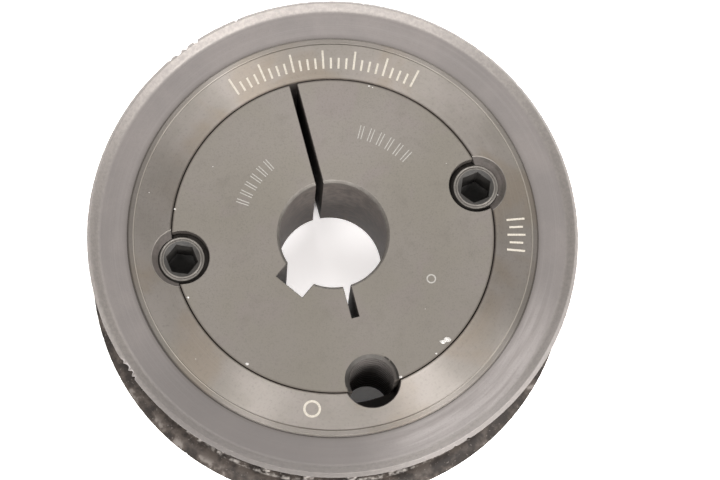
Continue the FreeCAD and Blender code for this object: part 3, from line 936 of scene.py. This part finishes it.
def bush_marks():
    """Two rows of fine paired bars and a small ring on the bush's face."""
    marks = []
    pair = 0.85  # degrees from the middle of a pair to each of its bars
    for index in range(6):
        for side in (-pair, pair):
            marks.append((46.0 + 5.4 * index + side, 19.4, 2.5))
            marks.append((130.0 + 5.6 * index + side, 17.0, 2.3))
    return (radial_marks("bush_index_marks", marks, BUSH_MARK_WIDTH),
            ring_mark("bush_index_dot", on_circle(-27.0, 19.0), 0.6, 0.85, 0.015, 32))


# ---------------------------------------------------------------- dirt

# (angle, distance from the axis, size) of each speck of swarf, in degrees and millimetres
HUB_SPECKS = ((165.0, 33.4, 0.12), (12.0, 30.1, 0.11), (221.0, 33.0, 0.1))
BUSH_SPECKS = (
    (292.4, 28.2, 0.3), (235.0, 27.9, 0.36), (314.3, 27.5, 0.72), (312.5, 27.25, 0.55),
    (307.8, 28.0, 0.2), (202.2, 28.0, 0.26), (168.8, 28.3, 0.2), (74.6, 28.1, 0.22),
    (73.2, 28.0, 0.15), (318.0, 21.0, 0.11), (148.0, 24.6, 0.12), (31.0, 24.0, 0.09),
)


def specks(name, spots):
    """Small lumpy chips lying on the front face, merged into one mesh."""
    points, faces = [], []
    sides, levels = 7, ((1.0, -0.02), (0.85, 0.35), (0.35, 0.6))  # (share of the size, rise)
    for number, (angle, radius, size) in enumerate(spots):
        middle = on_circle(angle, radius, FACE)
        start = len(points)
        for share, rise in levels:
            for side in range(sides):
                turn = 2 * math.pi * side / sides
                rough = 1 + 0.5 * noise.noise(Vector((3.1 * number, 1.7 * side, 5 * rise)))
                reach = size * share * rough
                points.append((middle.x + reach * math.cos(turn),
                               middle.y + 0.7 * reach * math.sin(turn),
                               FACE + size * 0.5 * rise * rough - 0.01))
        for level in range(len(levels) - 1):
            for side in range(sides):
                low, high = start + level * sides, start + (level + 1) * sides
                after = (side + 1) % sides
                faces.append((low + side, low + after, high + after, high + side))
        faces.append(tuple(start + side for side in range(sides)))
        faces.append(tuple(start + (len(levels) - 1) * sides + side for side in range(sides)))
    return new_piece(name, points, faces)


# ---------------------------------------------------------------- stage

def add_camera():
    """The photograph's viewing angle."""
    data = bpy.data.cameras.new("camera")
    data.lens, data.sensor_width = 163.295, 36.0  # in millimetres
    camera = bpy.data.objects.new("camera", data)
    camera.location = (-0.02180251, -0.14154839, 0.57100898)
    camera.rotation_euler = [math.radians(turn) for turn in (14.19777, -2.10924, -2.40218)]
    bpy.context.scene.collection.objects.link(camera)
    bpy.context.scene.camera = camera


def add_area(name, location, size, power):
    """A rectangular light, in metres and watts, that faces the middle of the part."""
    data = bpy.data.lights.new(name, "AREA")
    data.shape = "RECTANGLE"
    data.size, data.size_y = size
    data.energy = power
    light = bpy.data.objects.new(name, data)
    light.location = location
    light.rotation_euler = Vector(location).to_track_quat("Z", "Y").to_euler()
    bpy.context.scene.collection.objects.link(light)


# (name, place, size, power) of each light
LIGHTS = (
    ("left_window", (-0.36, -0.50, 0.86), (0.22, 0.26), 4.0),
    ("left_glow", (-0.52, -0.36, 0.80), (0.40, 0.30), 2.0),
    ("right_window", (0.44, -0.48, 0.80), (0.24, 0.24), 8.0),
    ("right_glow", (0.56, -0.32, 0.78), (0.40, 0.30), 3.0),
    ("back_window", (0.10, 0.50, 0.80), (0.70, 0.50), 6.0),
    ("far_wall", (0.03, 1.00, 0.16), (1.40, 0.25), 7.0),
    ("side_window", (0.72, -0.36, 0.40), (0.30, 0.30), 2.2),
    ("front_wall", (0.02, -0.86, 0.66), (1.10, 0.20), 17.0),
)


def add_stage(materials):
    """The pale surroundings, the lights and the table."""
    scene = bpy.context.scene
    scene.view_settings.view_transform = "Standard"
    scene.world = bpy.data.worlds.new("studio")
    scene.world.use_nodes = True
    colour, strength = scene.world.node_tree.nodes["Background"].inputs[:2]
    colour.default_value = (1.0, 0.985, 0.96, 1)
    strength.default_value = 1.7
    for light in LIGHTS:
        add_area(*light)
    half = TABLE_REACH
    floor = new_piece("table", [(-half, -half, BED), (half, -half, BED), (half, half, BED),
                                (-half, half, BED)], [(0, 1, 2, 3)])
    paint(floor, materials, ("table",))


# ---------------------------------------------------------------- the whole part

MATERIALS = {
    "turned": turned_steel(),
    "phosphate": phosphated_steel(),
    "sheet": sheet_steel("sheet_steel", 1.0),
    # a slightly darker copy of the sheet, for the lip's outward faces: painted shade
    "edge": sheet_steel("shaded_sheet_edge", 0.95),
    "greasy": greasy_steel(),
    "oxide": black_oxide(),
    "wall": hole_wall("hole_wall", (0.035, 0.029, 0.026), (0.026, 0.022, 0.019)),
    # a darker copy of the hole wall, for the sockets: painted shade
    "socket": hole_wall("shaded_socket_wall", (0.020, 0.018, 0.016), (0.013, 0.012, 0.011)),
    "bore": bore_steel(),
    "ring": rubbed_steel("worn_ring", 0.45),
    # a lifted copy for the screws' ridges: rubbed metal with a painted highlight
    "ridge": rubbed_steel("worn_ridge_highlight", 0.95),
    "mouth": rubbed_steel("countersink", 0.3),
    "chamfer": rubbed_steel("bore_chamfer", 1.1),
    # a lifted copy for the holes' eased edges: burnished metal with a painted highlight
    "rim": rubbed_steel("burnished_rim_highlight", 1.6),
    "etched": etched_mark("etched_mark", (0.200, 0.183, 0.155), (0.160, 0.143, 0.118)),
    "faint": etched_mark("faint_mark", (0.135, 0.127, 0.116), (0.105, 0.098, 0.088)),
    "swarf": bright_swarf(),
    "table": pale_table(),
}

add_camera()
add_stage(MATERIALS)
toothed_hub(MATERIALS)
flange("front_flange_ring", "front_flange", 1, FRONT_NICKS, MATERIALS)
flange("rear_flange_ring", "rear_flange", -1, REAR_NICKS, MATERIALS)
split_bush(MATERIALS)
for side in SCREW_ANGLES:
    set_screw(side, MATERIALS)

for piece, look, body, slot in (
        *((mark, "etched", "pulley", "hub_steel") for mark in hub_marks()),
        *((mark, "faint", "bush", "bush_steel") for mark in bush_marks()),
        (specks("hub_specks", HUB_SPECKS), "swarf", "pulley", "hub_steel"),
        (specks("bush_specks", BUSH_SPECKS), "swarf", "bush", "bush_steel")):
    paint(piece, MATERIALS, (look,))
    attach(piece, body)
